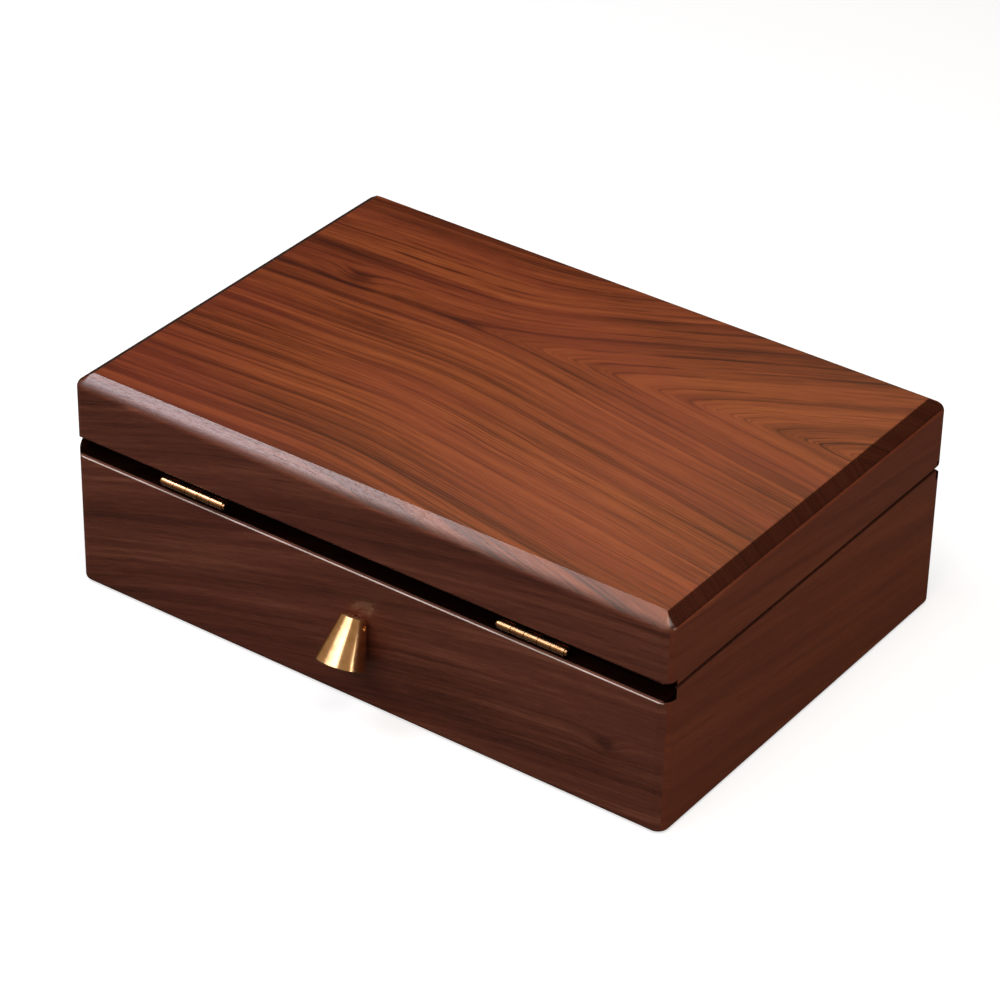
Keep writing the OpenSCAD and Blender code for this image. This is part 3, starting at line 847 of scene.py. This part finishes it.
@dataclass(frozen=True)
class Stuffing:
    """How a padded piece is filled: a block smaller than its room is blown up as cloth and fitted to the room.

    The shrink is the gap round the block, voxel the size of the cloth's mesh, and cap the furthest that a
    point may move, all in metres.
    """

    shrink: float
    voxel: float
    cap: float
    pressure: float = 4.0
    mass: float = 0.2
    stretch: float = 18.0
    shear: float = 6.0
    bending: float = 0.4
    quality: int = 6
    frames: int = 20

    def block(self, low: Vector, high: Vector) -> bpy.types.Object:
        """Adds the block and enters edit mode on it.

        Args:
            low: Lowest corner of the room that it is made for.
            high: Highest corner.

        Returns:
            The block.
        """
        deselect()
        size = [b - a - 2 * self.shrink for a, b in zip(low, high)]
        bpy.ops.mesh.primitive_cube_add(size=1, location=(low + high) / 2, scale=size)
        piece = bpy.context.object
        settle(piece)
        activate(piece)
        bpy.ops.object.mode_set(mode="EDIT")
        return piece

    def swell(self, piece: bpy.types.Object) -> None:
        """Blows a piece up as cloth under pressure and applies the result.

        Args:
            piece: A closed mesh at the origin.
        """
        activate(piece)
        piece.data.remesh_voxel_size = self.voxel
        bpy.ops.object.voxel_remesh()
        start = [v.co.copy() for v in piece.data.vertices]
        cloth = piece.modifiers.new("stuffing", "CLOTH")
        cloth.settings.quality = self.quality
        cloth.settings.mass = self.mass
        cloth.settings.tension_stiffness = self.stretch
        cloth.settings.compression_stiffness = self.stretch
        cloth.settings.shear_stiffness = self.shear
        cloth.settings.bending_stiffness = self.bending
        cloth.settings.use_pressure = True
        cloth.settings.uniform_pressure_force = self.pressure
        cloth.settings.effector_weights.gravity = 0
        cloth.collision_settings.use_collision = False
        cloth.point_cache.frame_start = 1
        cloth.point_cache.frame_end = self.frames
        scene = bpy.context.scene
        for step in range(1, self.frames + 1):
            scene.frame_set(step)
        bpy.ops.object.modifier_apply(modifier=cloth.name)
        for vert, was in zip(piece.data.vertices, start):
            moved = vert.co - was
            if moved.length > self.cap:
                vert.co = was + moved * (self.cap / moved.length)
        scene.frame_set(1)

    def fit(self, piece: bpy.types.Object, low: Vector, high: Vector) -> None:
        """Stretches a piece's mesh to fill its room.

        Args:
            piece: A piece at the origin.
            low: Lowest corner of the room.
            high: Highest corner.
        """
        points = [v.co for v in piece.data.vertices]
        start = Vector([min(p[i] for p in points) for i in range(3)])
        end = Vector([max(p[i] for p in points) for i in range(3)])
        for vert in piece.data.vertices:
            for i in range(3):
                vert.co[i] = low[i] + (vert.co[i] - start[i]) * (high[i] - low[i]) / (end[i] - start[i])

    def fill(self, piece: bpy.types.Object, low: Vector, high: Vector) -> None:
        """Stuffs a shaped block, smooths it and fits it to its room.

        Args:
            piece: The block, back in object mode.
            low: Lowest corner of the room.
            high: Highest corner.
        """
        self.swell(piece)
        activate(piece)
        rounded = piece.modifiers.new("smooth", "SUBSURF")
        rounded.levels = rounded.render_levels = 1
        bpy.ops.object.modifier_apply(modifier=rounded.name)
        self.fit(piece, low, high)


# ---- Sub-assemblies ------------------------------------------------------------------------------------------

@dataclass
class Carcass:
    """The walnut walls and top board, the bottom panel and the felt."""

    top: WalnutFinish = WalnutFinish(
        "walnut_top_board", Grain.TOP, ("2f0f08", "5b260f", "85401f", "a2562a", "c27543"), "8a382a",
        heart=(400.0, 30.5), spread=(0.71, 1.6), taper=0.353, start=-25.0, tilt=0.05, ring=14.4, late=0.38,
        lines=0.38, painted_sheen=0.10, rim=0.13, seed=1.3, end_grain=EndGrain(133.8), arris=DulledShadedArris(),
        knots=(Knot(-98.0, 31.0, 7.0, 3.5, 3.0, 0.30), Knot(-70.0, 6.0, 20.0, 6.0, 2.0, 0.20)))
    long_side: WalnutFinish = WalnutFinish(
        "walnut_long_side", Grain.LONG_WALL, ("220f08", "3f1e13", "5e2d1e", "753e2b", "90563e"), "632a24",
        heart=(900.0, -70.0), taper=0.02, tilt=0.19, bend=-0.0005, ring=5.2, contrast=1.5, late=0.1,
        lines=0.07, seed=4.1, rough=0.42, coat=0.15, groove=Groove(),
        knots=(Knot(114.0, 30.0, 5.0, 3.0, 4.0, 0.35), Knot(35.0, 20.0, 26.0, 9.0, 0.0, 0.16)))
    short_side: WalnutFinish = WalnutFinish(
        "walnut_short_side", Grain.SHORT_WALL, ("2a1007", "4b2010", "6d321c", "864528", "a25c3a"), "702e20",
        heart=(900.0, -60.0), taper=0.02, tilt=-0.14, ring=5.6, contrast=0.7, lines=0.08, seed=9.6,
        groove=Groove())
    plywood: PlywoodFinish = PlywoodFinish("birch_plywood", "cfae7e", "a67f50")
    felt: FeltFinish = FeltFinish("brown_felt", "3c2a22", "20140f")

    def build(self) -> list[str]:
        """Dresses the boards.

        Returns:
            Their names.
        """
        return (dress_nodes(self.top.make(), lambda name: name == "lid_top_board")
                + dress_nodes(self.long_side.make(), lambda name: name.endswith(("back_wall", "front_wall")))
                + dress_nodes(self.short_side.make(), lambda name: name.endswith(("left_wall", "right_wall")))
                + dress_nodes(self.plywood.make(), lambda name: name == "bottom_panel")
                + dress_nodes(self.felt.make(), lambda name: name == "base_felt"))


@dataclass
class Interior:
    """The suede-covered linings and dividers."""

    suede: SuedeFinish = SuedeFinish("suede_lining", "d9c8ab", "b59f7f")

    def build(self) -> list[str]:
        """Dresses the linings and the dividers and returns their names."""
        return dress_nodes(self.suede.make(), lambda name: name.endswith("_lining") or "divider" in name)


@dataclass
class Cushions:
    """Ten stuffed suede cushions: a band round the middle sewn to a panel at each end."""

    count: int = 10
    stuffing: Stuffing = Stuffing(shrink=1.6 * MM, voxel=2.6 * MM, cap=4.0 * MM)
    side_round: float = 12.0 * MM
    end_round: float = 4.0 * MM
    seam_in: float = 6.0 * MM
    seam_depth: float = 1.2 * MM
    seam_half: float = 0.9 * MM
    seam_slack: float = 0.04 * MM
    stitch: float = 2.2 * MM
    stitch_pitch: float = 3.4 * MM
    stitch_off: float = 1.9 * MM
    thread: float = 0.34 * MM
    fullness: float = 0.8
    cover: SuedeFinish = SuedeFinish("suede_cushion", "dccdb2", "bca788", 1.2)
    thread_finish: SuedeFinish = SuedeFinish("cushion_thread", "9a7a55", "6e5236", 0.4)

    def blank(self, low: Vector, high: Vector) -> bpy.types.Object:
        """Makes the cushion's form before it is stuffed.

        Args:
            low: Lowest corner of the room that it fills.
            high: Highest corner.

        Returns:
            A rounded, closed mesh.
        """
        piece = self.stuffing.block(low, high)
        middle = (low.x + high.x) / 2
        half = (high.x - low.x) / 2 - self.stuffing.shrink
        bpy.ops.mesh.select_mode(type="EDGE")
        bpy.ops.mesh.select_all(action="DESELECT")
        for edge in bmesh.from_edit_mesh(piece.data).edges:
            first, last = (v.co for v in edge.verts)
            edge.select = abs(first.x - last.x) > half
        bmesh.update_edit_mesh(piece.data)
        bpy.ops.mesh.bevel(offset=self.side_round, segments=5)
        pick(piece, lambda v: abs(abs(v.co.x - middle) - half) < 1e-5, "EDGE")
        bpy.ops.mesh.bevel(offset=self.end_round, segments=3)
        bpy.ops.object.mode_set(mode="OBJECT")
        return piece

    def sew(self, piece: bpy.types.Object, low: Vector, high: Vector) -> list[list[Vector]]:
        """Draws the two end seams in.

        Args:
            piece: The stuffed cushion.
            low: Its lowest corner.
            high: Its highest corner.

        Returns:
            The points round the cushion along each row of stitches, in order.
        """
        activate(piece)
        bpy.ops.object.mode_set(mode="EDIT")
        rows: list[list[Vector]] = []
        middle = (low + high) / 2
        for place, inward in ((low.x + self.seam_in, 1), (high.x - self.seam_in, -1)):
            row = place + inward * self.stitch_off
            for cut in (place - self.seam_half, place, place + self.seam_half, row):
                bpy.ops.mesh.select_all(action="SELECT")
                bpy.ops.mesh.bisect(plane_co=(cut, 0, 0), plane_no=(1, 0, 0))
            pick(piece, lambda v: abs(v.co.x - place) < self.seam_slack)
            bpy.ops.transform.shrink_fatten(value=-self.seam_depth)
            found = [v.co.copy() for v in bmesh.from_edit_mesh(piece.data).verts if abs(v.co.x - row) < 1e-5]
            rows.append(sorted(found, key=lambda p: math.atan2(p.z - middle.z, p.y - middle.y)))
        bpy.ops.object.mode_set(mode="OBJECT")
        return rows

    def first_stitch(self) -> bpy.types.Object:
        """Makes one stitch along Z at the origin, its ends drawn down into the cloth.

        Returns:
            The stitch.
        """
        deselect()
        bpy.ops.mesh.primitive_cylinder_add(vertices=6, radius=self.thread, depth=self.stitch)
        first = bpy.context.object
        settle(first)
        activate(first)
        bpy.ops.object.mode_set(mode="EDIT")
        pick(first, lambda v: abs(v.co.z) > self.stitch * 0.49, "FACE")
        bpy.ops.mesh.inset(thickness=self.thread * 0.5, use_even_offset=False)
        bpy.ops.transform.translate(value=(-self.thread * 0.8, 0, 0))
        bpy.ops.object.mode_set(mode="OBJECT")
        return first

    def stitches(self, rows: list[list[Vector]]) -> bpy.types.Object:
        """Makes the stitches along the rows.

        Args:
            rows: The points round the cushion along each row, in order.

        Returns:
            One object of many short threads, each half sunk in the cover.
        """
        first = self.first_stitch()
        threads: list[bpy.types.Object] = []
        side = Vector((1, 0, 0))
        for row in rows:
            travelled, due = 0.0, 0.0
            for here, after in zip(row, row[1:] + row[:1]):
                length = (after - here).length
                while due <= travelled + length and length > 0:
                    spot = here.lerp(after, (due - travelled) / length)
                    run = (after - here).normalized()
                    turn = Matrix((run.cross(side), -side, run)).transposed().to_4x4()
                    threads.append(twin(first, "thread", Matrix.Translation(spot) @ turn))
                    due += self.stitch_pitch
                travelled += length
        bpy.data.objects.remove(first)
        deselect()
        for thread in threads:
            thread.select_set(True)
        bpy.context.view_layer.objects.active = threads[0]
        bpy.ops.object.join()
        return threads[0]

    def build(self) -> list[str]:
        """Makes one cushion and copies it into every compartment.

        Returns:
            The names of the covers and the stitches.
        """
        low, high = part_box("watch_cushion_1")
        first = self.blank(low, high)
        self.stuffing.fill(first, low, high)
        rows = self.sew(first, low, high)
        smooth(first)
        threads = self.stitches(rows)
        dress(first, self.cover.make())
        dress(threads, self.thread_finish.make())
        built: list[str] = []
        for i in range(1, self.count + 1):
            node = f"watch_cushion_{i}"
            shift = Matrix.Translation(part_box(node)[0] - low)
            cover = twin(first, f"cushion_{i}_cover", shift)
            stitches = twin(threads, f"cushion_{i}_stitches", shift)
            for piece in (cover, stitches):
                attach(piece, f"cushion_{i}")
                built.append(piece.name)
            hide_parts(node)
        bpy.data.objects.remove(first)
        bpy.data.objects.remove(threads)
        return built


@dataclass
class LidPad:
    """The padded suede panel inside the lid."""

    stuffing: Stuffing = Stuffing(shrink=1.5 * MM, voxel=4.5 * MM, cap=5.0 * MM)
    edge_round: float = 3.5 * MM
    fullness: float = 0.6
    cover: SuedeFinish = SuedeFinish("suede_lid_pad", "d9c8ab", "b59f7f", 1.1)

    def build(self) -> list[str]:
        """Makes the pad and seats it in the lid.

        Returns:
            Its name.
        """
        low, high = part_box("lid_pad")
        piece = self.stuffing.block(low, high)
        piece.name = "lid_pad_cover"
        bpy.ops.mesh.bevel(offset=self.edge_round, segments=3)
        bpy.ops.object.mode_set(mode="OBJECT")
        self.stuffing.fill(piece, low, high)
        smooth(piece)
        dress(piece, self.cover.make())
        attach(piece, "lid")
        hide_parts("lid_pad")
        return [piece.name]


@dataclass
class Hardware:
    """The hinges, their screws, the magnets and the drop pull."""

    pull: BrassFinish = BrassFinish("brass_pull", "eac295", "c99766", 0.22, lean=math.radians(28))
    hinge: BrassFinish = BrassFinish("brass_hinge", "d2a47c", "9c7048", 0.27)
    steel: SteelFinish = SteelFinish("plated_steel", "c3c5c8")

    def build(self) -> list[str]:
        """Dresses the metal parts.

        Returns:
            Their names.
        """
        return (dress_nodes(self.steel.make(), lambda name: "magnets" in name or name == "pull_nut")
                + dress_nodes(self.pull.make(), lambda name: name.startswith("pull_") and name != "pull_nut")
                + dress_nodes(self.hinge.make(), lambda name: "hinge" in name))


# ---- Studio --------------------------------------------------------------------------------------------------

@dataclass(frozen=True)
class Softbox:
    """A soft lamp: where it stands as seen from the box, how big it is and how bright its face looks."""

    name: str
    towards: tuple[float, float, float]
    distance: float
    width: float
    height: float
    brightness: float
    colour: tuple[float, float, float]

    def build(self, target: Vector) -> None:
        """Sets the lamp up.

        Args:
            target: What it faces.
        """
        lamp = bpy.data.lights.new(self.name, "AREA")
        lamp.shape = "RECTANGLE"
        lamp.size = self.width
        lamp.size_y = self.height
        lamp.energy = self.brightness * self.width * self.height * math.pi
        lamp.color = self.colour
        holder = bpy.data.objects.new(self.name, lamp)
        bpy.context.scene.collection.objects.link(holder)
        back = Vector(self.towards).normalized()
        holder.matrix_world = (Matrix.Translation(target + back * self.distance)
                               @ back.to_track_quat("Z", "Y").to_matrix().to_4x4())
        holder.visible_camera = False


@dataclass
class Studio:
    """The camera, the floor, the world and the lamps.

    The mirrored colours are what gloss and metal see of the world, in front of the box and behind it.
    """

    eye: tuple[float, float, float] = (0.735087, -1.049068, 0.872041)
    azimuth: float = -35.1756
    elevation: float = 33.1743
    roll: float = 1.1962
    lens: float = 139.174
    shift: tuple[float, float] = (0.00156, 0.01562)
    ambient: float = 0.14
    ambient_colour: Colour = (1.0, 0.93, 0.86, 1.0)
    mirrored: Colour = (0.34, 0.24, 0.14, 1.0)
    mirrored_behind: Colour = (0.04, 0.03, 0.025, 1.0)
    behind: Span = (0.05, 0.5)
    floor_half: float = 4.0
    floor_drop: float = 0.15 * MM
    floor_glow: float = 0.62
    floor_seen: Colour = (0.6, 0.6, 0.6, 1.0)
    floor_lit: Colour = (0.30, 0.27, 0.25, 1.0)
    floor_mirrored: Colour = (0.07, 0.06, 0.05, 1.0)
    aim: tuple[float, float, float] = (0.0, 0.0, 0.06)
    lamps: tuple[Softbox, ...] = (
        Softbox("overhead_softbox", (0.30, -0.10, 0.95), 0.75, 0.5, 0.5, 3.8, (1.0, 0.95, 0.90)),
        Softbox("left_softbox", (-0.60, -0.22, 0.77), 1.3, 0.55, 0.42, 8.2, (0.95, 0.98, 1.08)),
        Softbox("front_strip", (-0.13, -0.72, 0.68), 1.5, 1.6, 0.3, 4.6, (1.0, 0.95, 0.92)),
        Softbox("right_strip", (0.93, 0.05, 0.33), 1.6, 0.22, 0.9, 6.5, (1.0, 0.94, 0.86)),
    )

    def camera(self) -> None:
        """Sets the camera up."""
        a, e, o = (math.radians(x) for x in (self.azimuth, self.elevation, self.roll))
        ahead = Vector((math.sin(a) * math.cos(e), math.cos(a) * math.cos(e), -math.sin(e)))
        right = Vector((math.cos(a), -math.sin(a), 0))
        up = right.cross(ahead)
        right, up = right * math.cos(o) + up * math.sin(o), up * math.cos(o) - right * math.sin(o)
        data = bpy.data.cameras.new("camera")
        data.lens = self.lens
        data.sensor_width = 36
        data.shift_x, data.shift_y = self.shift
        data.clip_end = 100
        holder = bpy.data.objects.new("camera", data)
        bpy.context.scene.collection.objects.link(holder)
        turn = Matrix((right, up, -ahead)).transposed().to_4x4()
        holder.matrix_world = Matrix.Translation(self.eye) @ turn
        bpy.context.scene.camera = holder

    def world(self) -> None:
        """Makes a white backdrop for the camera, dim surroundings for gloss and an even light for the rest."""
        world = bpy.data.worlds.new("studio")
        bpy.context.scene.world = world
        world.use_nodes = True
        tree = Tree(world.node_tree)
        heading = tree.node("ShaderNodeTexCoord", {}, {}).outputs["Generated"]
        parts = tree.node("ShaderNodeSeparateXYZ", {}, {0: heading})
        behind = tree.node("ShaderNodeMapRange", {}, {"Value": parts.outputs[1], "From Min": self.behind[0],
                                                      "From Max": self.behind[1]})
        around = tree.mix(Field(tree, behind.outputs[0]), self.mirrored, self.mirrored_behind)
        light, mirrored, backdrop = (
            tree.node("ShaderNodeBackground", {}, {"Color": colour, "Strength": strength}).outputs[0]
            for colour, strength in ((self.ambient_colour, self.ambient), (around, 1.0), (WHITE, 1.0)))
        unseen = tree.node("ShaderNodeMixShader", {}, {0: tree.ray("Is Glossy Ray"), 1: light, 2: mirrored})
        shown = tree.node("ShaderNodeMixShader", {}, {0: tree.ray("Is Camera Ray"), 1: unseen.outputs[0],
                                                      2: backdrop})
        tree.node("ShaderNodeOutputWorld", {}, {0: shown.outputs[0]})

    def floor(self) -> str:
        """Lays a pale floor that keeps the box's shadow.

        Returns:
            Its name.
        """
        deselect()
        bpy.ops.mesh.primitive_plane_add(size=2 * self.floor_half, location=(0, 0, -self.floor_drop))
        floor = bpy.context.object
        floor.name = "floor"
        settle(floor)
        g = Graph("pale_floor")
        seen = g.ray("Is Camera Ray")
        unseen = g.mix(g.ray("Is Glossy Ray"), self.floor_lit, self.floor_mirrored)
        g.finish(Base_Color=g.mix(seen, unseen, self.floor_seen), Roughness=1.0, Specular_IOR_Level=0.0,
                 Emission_Color=g.mix(seen, BLACK, WHITE), Emission_Strength=self.floor_glow)
        return dress(floor, g.material)

    def build(self) -> list[str]:
        """Sets up the whole studio.

        Returns:
            The names of the floor and the lamps.
        """
        bpy.context.scene.view_settings.view_transform = "Standard"
        self.camera()
        self.world()
        floor = self.floor()
        for lamp in self.lamps:
            lamp.build(Vector(self.aim))
        return [floor] + [lamp.name for lamp in self.lamps]


def main() -> None:
    """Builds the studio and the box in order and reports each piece."""
    logging.basicConfig(level=logging.INFO, format="%(message)s")
    for part in (Studio(), Carcass(), Interior(), Cushions(), LidPad(), Hardware()):
        for name in part.build():
            log.info("%s: %s", type(part).__name__, name)
    deselect()


if __name__ == "__main__":
    main()
